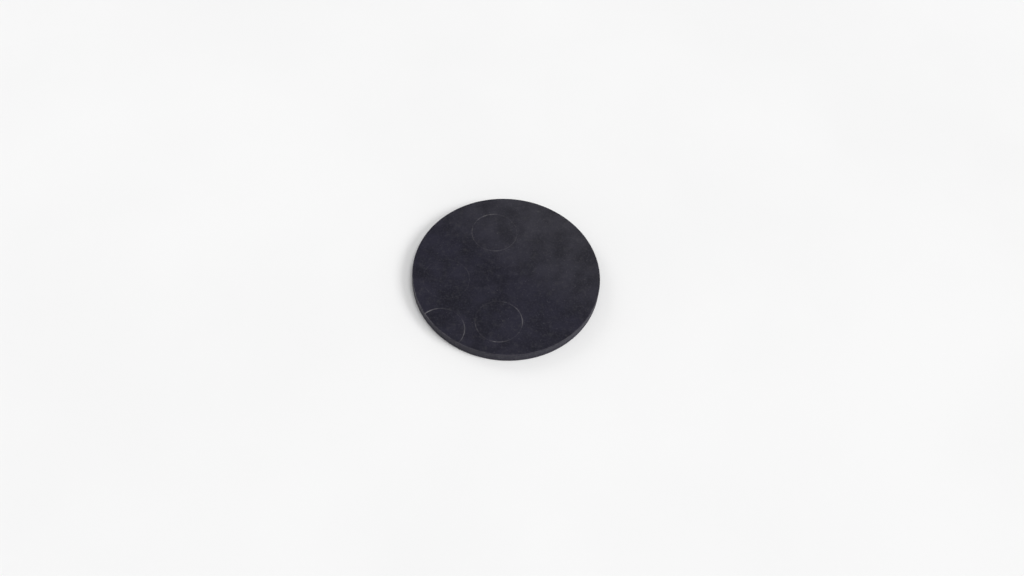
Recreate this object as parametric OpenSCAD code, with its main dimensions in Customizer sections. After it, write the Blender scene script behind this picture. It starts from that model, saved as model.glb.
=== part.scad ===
// Blank rubber washer: a flat round disc cut from sheet rubber, with no bore.
// Origin at the middle of the underside, +Z up through the disc, millimetres.

/* [Disc] */
// Outside diameter of the disc
disc_d = 40; // [25:0.5:80]
// Thickness of the rubber sheet
sheet_t = 2.4; // [1.2:0.1:6]
// Radius that softens both edges of the rim
edge_r = 0.25; // [0.05:0.05:0.5]

/* [Ring marks] */
// Diameter of each ring pressed into the upper face, at the middle of its groove
ring_d = 9.8; // [6:0.1:12]
// Width of the groove where it meets the face
groove_w = 0.32; // [0.2:0.02:0.6]
// Depth of the groove below the face
groove_deep = 0.04; // [0.02:0.01:0.1]

/* [Hidden] */
$fn = 180;

disc_r = disc_d / 2;
// A groove's floor is an arc, and this is the radius that gives its width and depth.
groove_arc_r = (pow(groove_w / 2, 2) + pow(groove_deep, 2)) / (2 * groove_deep);
// Middles of the ring marks on the upper face. The last one runs off the rim.
RING_SPOTS = [
    [-2.6, 10.6],
    [-12.7, -1.8],
    [-1.6, -12.0],
    [-13.5, -14.1]
];

// Half of the disc's section, from its axis out to the rim.
module half_section() {
    square([disc_r - edge_r, sheet_t]);
    translate([0, edge_r]) square([disc_r, sheet_t - 2 * edge_r]);
    for (z = [edge_r, sheet_t - edge_r])
        translate([disc_r - edge_r, z]) circle(r = edge_r);
}

// What one ring mark takes away, with its middle on the face at z = 0.
module ring_groove() {
    rotate_extrude()
        translate([ring_d / 2, groove_arc_r - groove_deep]) circle(r = groove_arc_r);
}

module washer() {
    color("#2c2b35")
        difference() {
            rotate_extrude() half_section();
            for (spot = RING_SPOTS)
                translate([spot.x, spot.y, sheet_t]) ring_groove();
        }
}

washer();
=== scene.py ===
import math

import bpy
import numpy as np
from mathutils import Matrix, Vector
from mathutils.geometry import delaunay_2d_cdt


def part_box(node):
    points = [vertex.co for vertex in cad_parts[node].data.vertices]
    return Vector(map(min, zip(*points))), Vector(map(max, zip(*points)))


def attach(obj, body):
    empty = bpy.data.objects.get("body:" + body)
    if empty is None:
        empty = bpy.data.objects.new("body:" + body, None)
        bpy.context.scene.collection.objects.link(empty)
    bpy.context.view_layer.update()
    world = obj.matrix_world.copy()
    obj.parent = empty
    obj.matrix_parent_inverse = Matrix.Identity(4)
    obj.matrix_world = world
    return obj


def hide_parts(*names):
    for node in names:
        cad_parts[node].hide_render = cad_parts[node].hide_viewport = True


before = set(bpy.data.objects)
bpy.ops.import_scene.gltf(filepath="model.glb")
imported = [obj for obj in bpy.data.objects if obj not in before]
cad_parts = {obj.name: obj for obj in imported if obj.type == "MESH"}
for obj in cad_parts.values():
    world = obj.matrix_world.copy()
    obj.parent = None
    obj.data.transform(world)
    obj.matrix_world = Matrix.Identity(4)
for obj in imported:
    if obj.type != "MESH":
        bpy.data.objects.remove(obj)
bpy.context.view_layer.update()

MM = 0.001
FULL_TURN = 2 * math.pi
ORIGIN = Vector((0, 0, 0))
WHITE = (1, 1, 1, 1)

# Sizes of the washer. Its radius and its thickness come from the CAD node.
box_low, box_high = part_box("washer")
DISC_R = (box_high.x - box_low.x) / 2
SHEET_T = box_high.z - box_low.z
EDGE_R = 0.25 * MM
FACE_R = DISC_R - EDGE_R

# Ring marks pressed into the upper face. Each has its middle in millimetres, its depth as a share of the
# deepest, the dust all round its groove, and its paler arcs, dust with a painted glint on the groove walls,
# as (direction in degrees, spread in degrees, added dust and glint).
RING_R = 4.9 * MM
GROOVE_W = 0.32 * MM
GROOVE_DEEP = 0.04 * MM
RINGS = (
    {"spot": (-2.6, 10.6), "press": 0.8, "dust": 0.09,
     "dust_and_glint_arcs": ((115, 28, 0.42), (182, 14, 0.20), (277, 16, 0.26))},
    {"spot": (-12.7, -1.8), "press": 0.5, "dust": 0.06,
     "dust_and_glint_arcs": ((10, 40, 0.05),)},
    {"spot": (-1.6, -12.0), "press": 1.0, "dust": 0.05,
     "dust_and_glint_arcs": ((8, 20, 0.48), (52, 20, 0.46), (204, 20, 0.22), (269, 12, 0.95))},
    {"spot": (-13.5, -14.1), "press": 1.0, "dust": 0.08,
     "dust_and_glint_arcs": ((130, 20, 0.85), (98, 14, 0.20), (346, 14, 0.45), (14, 10, 0.28))},
)

# Unevenness of the sheet: the waves in its faces and how deep they are, the waves along its grooves, and
# the least share of its depth that a groove keeps.
FACE_WAVE = 11 * MM
FACE_SAG = 0.04 * MM
GROOVE_WAVE = 4 * MM
GROOVE_LEAST = 0.4

# Cut rim: how far its wall is dished, and the pitch and depth of the ridges that a die leaves in it. Only a
# small share of the height counts in their pattern, so that they run nearly upright.
CUT_DISH = 0.05 * MM
CUT_RIDGE_WAVE = 0.45 * MM
CUT_RIDGE = 0.05 * MM
CUT_RIDGE_LEAN = 0.12

# Ripples are sums of sine waves, whose lengths lie between two shares of the length asked for. Each kind of
# ripple draws its waves from its own seed.
RIPPLE_WAVES = 9
RIPPLE_SHORTEST = 0.7
RIPPLE_LONGEST = 1.5
UPPER_SEED = 3
UNDER_SEED = 5
RIDGE_SEED = 7
GROOVE_SEED = 11

# Painted sheen on the faces, and wear with a painted highlight along their edges, in plan: the side that
# has most of each, the power with which it grows towards that side, the least share of wear and highlight
# elsewhere, and the power that narrows the wear and highlight.
SHEEN_TOWARDS = np.array((0.6, 0.8))
SHEEN_RISE = 0.7
WORN_AND_LIT_TOWARDS = np.array((-0.98, -0.2))
WORN_AND_LIT_RISE = 3
WORN_AND_LIT_LEAST = 0.3
WORN_AND_LIT_NARROW = 4

# Fineness of the mesh: steps round the rim and round a ring, rows in an edge, the wall and a groove, the
# strip that the rows of a groove span, and the pitch of the fill with the gap that it keeps.
RIM_STEPS = 1200
RING_STEPS = 320
EDGE_STEPS = 6
WALL_ROWS = 14
GROOVE_ROWS = 9
GROOVE_SPAN = 0.48 * MM
GROOVE_PITCH = GROOVE_SPAN / (GROOVE_ROWS - 1)
FILL_PITCH = 0.42 * MM
FILL_GAP = 0.2 * MM

# Kind of triangulation, which fills the hull, and how near two points count as one, in millimetres.
FILL_HULL = 0
SAME_POINT = 1e-6

# Places of a Mix node's sockets for colours, since those for other kinds of value have the same names.
COLOUR_UNDER = 6
COLOUR_OVER = 7
COLOUR_OUT = 2

# Patterns in the rubber, from the broadest down, as (width of the blotches, levels of finer detail), and
# how drawn out the streaks of the cut are.
MOTTLE = (4 * MM, 6)
CLOUD = (0.9 * MM, 4)
FLECK = (0.4 * MM, 3)
SPECK = (0.3 * MM, 1)
GRAIN = (0.2 * MM, 3)
STREAK = (0.18 * MM, 3)
STREAK_DRAWN = 14

# Tones of the rubber, in linear light.
RUBBER_DARK = (0.0026, 0.0022, 0.0086, 1)
RUBBER_LIGHT = (0.0112, 0.0102, 0.0220, 1)
RUBBER_FLECK = (0.022, 0.021, 0.033, 1)
CUT_RUBBER = (0.0230, 0.0210, 0.0338, 1)
CUT_STREAK = (0.0380, 0.0354, 0.0472, 1)
# Bloom tone: the rubber's own in random clouds, and also the tone of the painted sheen towards one side.
BLOOM_AND_SHEEN = (0.075, 0.073, 0.075, 1)
# Dust in specks and in the ring marks, and also the tone of the painted glints in the ring marks' paler
# arcs.
DUST_AND_GLINT = (0.176, 0.170, 0.178, 1)
# Pale edge line: partly wear, partly a painted highlight where the rounded edge catches the light.
SCUFF_AND_HIGHLIGHT = (0.19, 0.18, 0.195, 1)

# Layers of tone. Each fades in as its pattern rises through a range, and then covers a share of what lies
# under it. A layer with a least share keeps that much of itself where its pattern is weakest.
MOTTLE_RANGE = (0.3, 0.7)
FLECK_RANGE = (0.45, 0.7)
FLECK_SHARE = 0.5
# The sheen layer is painted light: a paler tone towards one side of the faces, standing in for reflection.
SHEEN_RANGE = (0.2, 0.8)
SHEEN_LEAST = 0.4
SHEEN_SHARE = 0.31
BLOOM_RANGE = (0.5, 0.8)
BLOOM_SHARE = 0.16
STREAK_RANGE = (0.45, 0.7)
CUT_SHARE = 0.85
SPECK_RANGE = (0.70, 0.76)
SPECK_SHARE = 0.25
# The dust layer of the ring marks also carries their painted glints.
DUST_GLINT_RANGE = (0.38, 0.58)
DUST_GLINT_LEAST = 0.3
# The scuff layer is partly wear and partly a painted highlight along the edges.
SCUFF_HIGHLIGHT_RANGE = (0.35, 0.6)
SCUFF_HIGHLIGHT_LEAST = 0.3
SCUFF_HIGHLIGHT_SHARE = 0.7

# Finish of the rubber: how rough its smoothest and its dullest blotches are, what the cut adds to that, how
# strongly it mirrors light, and how strong and how high its bumps are.
ROUGH_RANGE = (0.3, 0.7)
ROUGH_LEAST = 0.50
ROUGH_MOST = 0.60
CUT_ROUGHER = 0.1
RUBBER_MIRROR = 0.25
BUMP_STRENGTH = 0.6
GRAIN_HEIGHT = 0.012 * MM
CLOUD_HEIGHT = 0.02 * MM

# Photograph's view, as fitted to the outline of the disc: the image's width and the focal length in pixels,
# the sensor's width in millimetres, where the camera looks and from where, in degrees, and its near limit.
IMAGE_W = 1024
FOCAL_PX = 1100
SENSOR_W = 36
CAMERA_AIM = Vector((1.29, -2.15, 0)) * MM
CAMERA_AWAY = 234.6 * MM
CAMERA_AZIMUTH = -5.09
CAMERA_ELEVATION = 56.96
CAMERA_ROLL = 5.79
CAMERA_NEAR = 10 * MM

# Pale floor: half its width, which runs out of sight, and its faint blotches and finish.
FLOOR_HALF = 30.0
FLOOR_BLOTCH = (60 * MM, 3)
FLOOR_RANGE = (0.3, 0.7)
FLOOR_DARK = (0.85, 0.85, 0.85, 1)
FLOOR_LIGHT = (0.87, 0.87, 0.87, 1)
FLOOR_ROUGH = 0.7
FLOOR_MIRROR = 0.2

# Studio light: how bright the walls are at the horizon and overhead, between which heights of the view they
# dim, how broad in degrees and how far away each light is, and the lights as (name, azimuth, elevation,
# strength).
STUDIO_WHITE = 0.93
STUDIO_DIM = 0.34
STUDIO_RANGE = (0.08, 0.40)
LIGHT_SPREAD = 26
LIGHT_AWAY = 1.0
LIGHTS = (
    ("key", 72, 37, 1.6),
    ("overhead", 60, 74, 1.1),
    ("far_left", -130, 26, 0.5),
)


def ripple(points, wavelength, seed):
    """Smooth seeded unevenness from 0 to 1 at points of any dimension."""
    draw = np.random.default_rng(seed)
    total = np.zeros(len(points))
    for _ in range(RIPPLE_WAVES):
        heading = draw.normal(size=points.shape[1])
        heading /= np.linalg.norm(heading)
        pitch = wavelength * draw.uniform(RIPPLE_SHORTEST, RIPPLE_LONGEST)
        total += np.sin(points @ heading * FULL_TURN / pitch + draw.uniform(0, FULL_TURN))
    return 0.5 + total / (2 * RIPPLE_WAVES)


def circle(radius, count, centre=(0, 0)):
    """Points round a circle in the plane."""
    turn = np.arange(count) * FULL_TURN / count
    return np.column_stack((np.cos(turn), np.sin(turn))) * radius + centre


def reach(points):
    """How far each point of the plane lies from its middle."""
    return np.hypot(points[:, 0], points[:, 1])


def ring_middle(ring):
    """The middle of a ring, in plan."""
    return np.array(ring["spot"]) * MM


def off_ring(points, ring):
    """How far each point lies outside the middle of a ring's groove, below 0 inside it."""
    return reach(points - ring_middle(ring)) - RING_R


def groove_shape(points, ring):
    """From 0 on the face to 1 on the floor of a ring's groove, with soft shoulders."""
    across = np.clip(np.abs(off_ring(points, ring)) / (GROOVE_W / 2), 0, 1)
    return np.cos(across * math.pi / 2) ** 2


def groove_drop(points):
    """How far the ring marks lower the upper face."""
    evenness = np.clip(GROOVE_LEAST + ripple(points, GROOVE_WAVE, GROOVE_SEED), 0, 1)
    pressed = np.max([ring["press"] * groove_shape(points, ring) for ring in RINGS], axis=0)
    return GROOVE_DEEP * pressed * evenness


def ring_dust_and_glint(points):
    """How pale each point is from the ring marks, from 0 to 1: dust all round, and dust with a painted
    glint in the paler arcs.
    """
    dust = np.zeros(len(points))
    for ring in RINGS:
        away = points - ring_middle(ring)
        heading = np.degrees(np.arctan2(away[:, 1], away[:, 0]))
        amount = np.full(len(points), ring["dust"])
        # The arcs add a painted glint, paler where the groove walls would catch the light, on top of the
        # dust.
        for direction, spread, added in ring["dust_and_glint_arcs"]:
            turned = (heading - direction + 180) % 360 - 180
            amount += added * np.exp(-(turned / spread) ** 2)
        dust = np.maximum(dust, amount * groove_shape(points, ring))
    return dust


def fill_points(rings):
    """An even triangular fill of a face, clear of its border and of the grooves."""
    steps = np.arange(-DISC_R, DISC_R, FILL_PITCH)
    rows = []
    for index, y in enumerate(steps * math.sqrt(3) / 2):
        shift = FILL_PITCH / 2 * (index % 2)
        rows.append(np.column_stack((steps + shift, np.full(len(steps), y))))
    points = np.vstack(rows)
    clear = reach(points) < FACE_R - FILL_GAP
    for ring in rings:
        clear &= np.abs(off_ring(points, ring)) > GROOVE_SPAN / 2 + FILL_GAP
    return points[clear]


def face_points(rings):
    """All points of a face, with those of its border first."""
    inner = [fill_points(rings)]
    for ring in rings:
        for off in np.linspace(-GROOVE_SPAN / 2, GROOVE_SPAN / 2, GROOVE_ROWS):
            row = circle(RING_R + off, RING_STEPS, ring_middle(ring))
            inner.append(row[reach(row) < FACE_R - GROOVE_PITCH])
    return np.vstack([circle(FACE_R, RIM_STEPS), *inner])


def face_triangles(points):
    """Delaunay triangles over the points of a face, as corner numbers."""
    flat = [Vector(point) for point in points / MM]
    _, _, faces, *_ = delaunay_2d_cdt(flat, [], [], FILL_HULL, SAME_POINT)
    return [list(face) for face in faces]


def upper_level(points):
    """Height of the upper face, with its soft waves and its ring marks."""
    return SHEET_T - FACE_SAG * ripple(points, FACE_WAVE, UPPER_SEED) - groove_drop(points)


def under_level(points):
    """Height of the under face, with its soft waves."""
    return FACE_SAG * ripple(points, FACE_WAVE, UNDER_SEED)


def upper_face():
    points = face_points(RINGS)
    return np.column_stack((points, upper_level(points))), face_triangles(points)


def under_face():
    points = face_points(())
    return np.column_stack((points, under_level(points))), face_triangles(points)


def rim_section():
    """The rim from the upper face down to the under face, as (radius, height) pairs."""
    bend = np.linspace(math.pi / 2, 0, EDGE_STEPS + 1)[1:]
    edge = [(FACE_R + EDGE_R * math.cos(turn), EDGE_R * (1 - math.sin(turn))) for turn in bend]
    upper = [(radius, SHEET_T - drop) for radius, drop in edge]
    lower = list(reversed(edge))
    wall = []
    for share in np.linspace(0, 1, WALL_ROWS + 2)[1:-1]:
        dish = CUT_DISH * math.sin(share * math.pi)
        wall.append((DISC_R - dish, SHEET_T - EDGE_R - share * (SHEET_T - 2 * EDGE_R)))
    return upper + wall + lower


def rim_rows():
    """Rows of points round the rim, dished and ridged as a cutting die leaves it, between the two faces."""
    around = circle(1, RIM_STEPS)
    rows = []
    for radius, height in rim_section():
        lean = np.full(RIM_STEPS, height * CUT_RIDGE_LEAN)
        ridges = ripple(np.column_stack((around * DISC_R, lean)), CUT_RIDGE_WAVE, RIDGE_SEED)
        on_wall = math.sin(math.pi * height / SHEET_T)
        plan = around * (radius - CUT_RIDGE * ridges * on_wall)[:, None]
        level = np.clip(height, under_level(plan), upper_level(plan))
        rows.append(np.column_stack((plan, level)))
    return rows


def band(first, second):
    """Quads between two closed rows of vertex numbers, the first above the second."""
    return [
        [first[i - 1], second[i - 1], second[i], first[i]]
        for i in range(len(first))
    ]


def washer_mesh():
    """The washer as one closed mesh of its upper face, its rim and its under face, and the points of it."""
    upper, upper_faces = upper_face()
    under, under_faces = under_face()
    rows = rim_rows()
    points = np.vstack([upper, *rows, under])
    starts = np.cumsum([0, len(upper)] + [RIM_STEPS] * len(rows))
    borders = [np.arange(start, start + RIM_STEPS).tolist() for start in starts]
    faces = list(upper_faces)
    for first, second in zip(borders, borders[1:]):
        faces += band(first, second)
    faces += [[starts[-1] + corner for corner in reversed(face)] for face in under_faces]
    mesh = bpy.data.meshes.new("washer_rubber")
    mesh.from_pydata(points.tolist(), [], faces)
    mesh.shade_smooth()
    return mesh, points


def towards(plan, side, rise):
    """From 0 at the middle of the disc, and beyond it, to 1 at the rim on one side."""
    return np.clip(plan @ side / DISC_R, 0, 1) ** rise


def store(mesh, name, values):
    """Keeps a number for each vertex, for the material to read."""
    made = mesh.attributes.new(name, "FLOAT", "POINT")
    made.data.foreach_set("value", values.astype(np.float32))


def store_marks(mesh, points):
    """Where the surface is dusty or has painted glints in its ring marks, is cut by the die, is worn and
    painted with a highlight along its edges, or has a painted sheen.
    """
    plan, height = points[:, :2], points[:, 2]
    radius = reach(plan)
    above = height > SHEET_T / 2
    out = np.clip((radius - FACE_R) / EDGE_R, 0, 1)
    from_face = np.minimum(height, SHEET_T - height)
    cut = np.clip(from_face / EDGE_R, 0, 1) * (radius > FACE_R)
    # Half way round a bend this is 1, and where the bend meets the face or the wall it is 0.
    bend = np.clip(2 * out * (1 - cut), 0, 1)
    # Wear and painted highlight, strongest on one side.
    worn_and_lit = WORN_AND_LIT_LEAST + (1 - WORN_AND_LIT_LEAST) * towards(plan, WORN_AND_LIT_TOWARDS, WORN_AND_LIT_RISE)
    # Dust in the ring marks, with painted glints in their paler arcs.
    store(mesh, "ring_dust_and_glint", ring_dust_and_glint(plan) * above * (1 - cut))
    store(mesh, "cut", cut)
    # Thin pale line round the bent edges: partly wear, partly a painted highlight.
    store(mesh, "edge", bend ** WORN_AND_LIT_NARROW * worn_and_lit)
    # Painted sheen: grows towards one side of the faces.
    store(mesh, "painted_sheen", towards(plan, SHEEN_TOWARDS, SHEEN_RISE))


def add(tree, kind, inputs=(), **settings):
    """Adds a shader node. An input given a socket is linked to it, and any other value is set."""
    made = tree.nodes.new("ShaderNode" + kind)
    for name, value in settings.items():
        setattr(made, name, value)
    for key, value in dict(inputs).items():
        if isinstance(value, bpy.types.NodeSocket):
            tree.links.new(value, made.inputs[key])
        else:
            made.inputs[key].default_value = value
    return made


def noise(tree, where, pattern):
    """Noise with the blotches of a pattern."""
    width, detail = pattern
    return add(tree, "TexNoise", {"Vector": where, "Scale": 1 / width, "Detail": detail}).outputs[0]


def ramp(tree, value, span, low=0.0, high=1.0):
    """Low up to the start of a span, high from its end on, and a smooth change between them."""
    start, end = span
    inputs = {"Value": value, "From Min": start, "From Max": end, "To Min": low, "To Max": high}
    return add(tree, "MapRange", inputs, interpolation_type="SMOOTHSTEP").outputs["Result"]


def times(tree, one, other):
    return add(tree, "Math", {0: one, 1: other}, operation="MULTIPLY").outputs[0]


def plus(tree, one, other):
    return add(tree, "Math", {0: one, 1: other}, operation="ADD").outputs[0]


def mark(tree, name):
    """A number that the mesh keeps for each vertex."""
    return add(tree, "Attribute", attribute_name=name).outputs["Fac"]


def paint(tree, amount, under, over):
    """The under colour where amount is 0 and the over colour where it is 1."""
    inputs = {"Factor": amount, COLOUR_UNDER: under, COLOUR_OVER: over}
    return add(tree, "Mix", inputs, data_type="RGBA").outputs[COLOUR_OUT]


def new_material(name):
    material = bpy.data.materials.new(name)
    material.use_nodes = True
    material.node_tree.nodes.clear()
    return material, material.node_tree


def shade(tree, inputs):
    """Ends a material in a shader with these inputs."""
    shader = add(tree, "BsdfPrincipled", inputs)
    add(tree, "OutputMaterial", {"Surface": shader.outputs[0]})


def sheet_colour(tree, where, cloud):
    """Mottled black rubber with paler flecks, a painted sheen that grows towards one side, and faint clouds
    of bloom.
    """
    mottle = noise(tree, where, MOTTLE)
    fleck = noise(tree, where, FLECK)
    colour = paint(tree, ramp(tree, mottle, MOTTLE_RANGE), RUBBER_DARK, RUBBER_LIGHT)
    colour = paint(tree, ramp(tree, fleck, FLECK_RANGE, high=FLECK_SHARE), colour, RUBBER_FLECK)
    # Painted sheen: a paler tone that grows towards one side, standing in for reflected light.
    painted_sheen = times(tree, mark(tree, "painted_sheen"), ramp(tree, mottle, SHEEN_RANGE, low=SHEEN_LEAST))
    colour = paint(tree, times(tree, painted_sheen, SHEEN_SHARE), colour, BLOOM_AND_SHEEN)
    return paint(tree, ramp(tree, cloud, BLOOM_RANGE, high=BLOOM_SHARE), colour, BLOOM_AND_SHEEN)


def cut_colour(tree, where):
    """Duller rubber with upright streaks."""
    drawn = add(tree, "Mapping", {"Vector": where, "Scale": (1, 1, 1 / STREAK_DRAWN)}).outputs[0]
    streak = noise(tree, drawn, STREAK)
    return paint(tree, ramp(tree, streak, STREAK_RANGE), CUT_RUBBER, CUT_STREAK)


def dusted(tree, where, cloud, colour):
    """A colour under specks of dust, with patchy dust and painted glints in the ring marks, and scuffs with
    a painted highlight along the edges.
    """
    speck = noise(tree, where, SPECK)
    colour = paint(tree, ramp(tree, speck, SPECK_RANGE, high=SPECK_SHARE), colour, DUST_AND_GLINT)
    patchy = ramp(tree, cloud, DUST_GLINT_RANGE, low=DUST_GLINT_LEAST)
    # Patchy dust in the ring marks, with painted glints in their paler arcs.
    colour = paint(tree, times(tree, mark(tree, "ring_dust_and_glint"), patchy), colour, DUST_AND_GLINT)
    # Scuffs along the edges, partly wear and partly a painted highlight.
    scuff_and_highlight = times(tree, mark(tree, "edge"), ramp(tree, cloud, SCUFF_HIGHLIGHT_RANGE, low=SCUFF_HIGHLIGHT_LEAST))
    return paint(tree, times(tree, scuff_and_highlight, SCUFF_HIGHLIGHT_SHARE), colour, SCUFF_AND_HIGHLIGHT)


def uneven(tree, where, cloud):
    """The direction of a surface with a fine grain and broader soft dips."""
    grain = {"Height": noise(tree, where, GRAIN), "Strength": BUMP_STRENGTH, "Distance": GRAIN_HEIGHT}
    fine = add(tree, "Bump", grain).outputs[0]
    dips = {"Height": cloud, "Strength": BUMP_STRENGTH, "Distance": CLOUD_HEIGHT, "Normal": fine}
    return add(tree, "Bump", dips).outputs[0]


def rubber():
    """Satin black sheet rubber with a fine grain, faint bloom and a painted sheen, dusty ring marks with
    painted glints, edges scuffed and painted with a highlight, and a duller cut rim.
    """
    material, tree = new_material("sheet_rubber")
    where = add(tree, "TexCoord").outputs["Object"]
    cloud = noise(tree, where, CLOUD)
    cut = mark(tree, "cut")
    sheet = sheet_colour(tree, where, cloud)
    colour = paint(tree, times(tree, cut, CUT_SHARE), sheet, cut_colour(tree, where))
    rough = ramp(tree, cloud, ROUGH_RANGE, ROUGH_LEAST, ROUGH_MOST)
    shade(tree, {
        "Base Color": dusted(tree, where, cloud, colour),
        "Roughness": plus(tree, rough, times(tree, cut, CUT_ROUGHER)),
        "Normal": uneven(tree, where, cloud),
        "Specular IOR Level": RUBBER_MIRROR,
    })
    return material


def pale_floor():
    material, tree = new_material("pale_floor")
    where = add(tree, "TexCoord").outputs["Object"]
    tone = ramp(tree, noise(tree, where, FLOOR_BLOTCH), FLOOR_RANGE)
    shade(tree, {
        "Base Color": paint(tree, tone, FLOOR_DARK, FLOOR_LIGHT),
        "Roughness": FLOOR_ROUGH,
        "Specular IOR Level": FLOOR_MIRROR,
    })
    return material


def show(name, data):
    """Puts an object with this data into the scene."""
    made = bpy.data.objects.new(name, data)
    bpy.context.scene.collection.objects.link(made)
    return made


def add_washer():
    mesh, points = washer_mesh()
    store_marks(mesh, points)
    mesh.materials.append(rubber())
    washer = show("washer_rubber", mesh)
    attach(washer, "root")
    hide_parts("washer")


def add_floor():
    half = FLOOR_HALF
    corners = [(-half, -half, 0), (half, -half, 0), (half, half, 0), (-half, half, 0)]
    mesh = bpy.data.meshes.new("floor")
    mesh.from_pydata(corners, [], [(0, 1, 2, 3)])
    mesh.materials.append(pale_floor())
    show("floor", mesh)


def spot_at(azimuth, elevation, away, aim=ORIGIN):
    """A place at an azimuth, 0 being towards the viewer, and an elevation from the aim, in degrees."""
    turn, rise = math.radians(azimuth), math.radians(elevation)
    out = Vector((math.sin(turn) * math.cos(rise), -math.cos(turn) * math.cos(rise), math.sin(rise)))
    return aim + out * away


def facing(place, aim, roll=0.0):
    """The pose of a camera or lamp at a place that looks at the aim, rolled about its view in degrees."""
    look = (aim - place).to_track_quat("-Z", "Y").to_matrix().to_4x4()
    return Matrix.Translation(place) @ look @ Matrix.Rotation(math.radians(roll), 4, "Z")


def add_camera():
    data = bpy.data.cameras.new("camera")
    data.sensor_width = SENSOR_W
    data.lens = FOCAL_PX / IMAGE_W * SENSOR_W
    data.clip_start = CAMERA_NEAR
    camera = show("camera", data)
    place = spot_at(CAMERA_AZIMUTH, CAMERA_ELEVATION, CAMERA_AWAY, CAMERA_AIM)
    camera.matrix_world = facing(place, CAMERA_AIM, CAMERA_ROLL)
    bpy.context.scene.camera = camera


def add_soft_light(name, azimuth, elevation, strength):
    """A broad light from far away, so that the floor is evenly lit."""
    data = bpy.data.lights.new(name, "SUN")
    data.angle = math.radians(LIGHT_SPREAD)
    data.energy = strength
    place = spot_at(azimuth, elevation, LIGHT_AWAY)
    show(name, data).matrix_world = facing(place, ORIGIN)


def add_studio():
    """Dim walls overhead that brighten to white at the horizon."""
    world = bpy.data.worlds.new("studio")
    world.use_nodes = True
    tree = world.node_tree
    view = add(tree, "TexCoord").outputs["Generated"]
    height = add(tree, "SeparateXYZ", {"Vector": view}).outputs["Z"]
    strength = ramp(tree, height, STUDIO_RANGE, STUDIO_WHITE, STUDIO_DIM)
    background = tree.nodes["Background"]
    background.inputs["Color"].default_value = WHITE
    tree.links.new(strength, background.inputs["Strength"])
    bpy.context.scene.world = world


def add_light():
    add_studio()
    for name, azimuth, elevation, strength in LIGHTS:
        add_soft_light(name, azimuth, elevation, strength)
    bpy.context.scene.view_settings.view_transform = "Standard"


add_washer()
add_floor()
add_camera()
add_light()
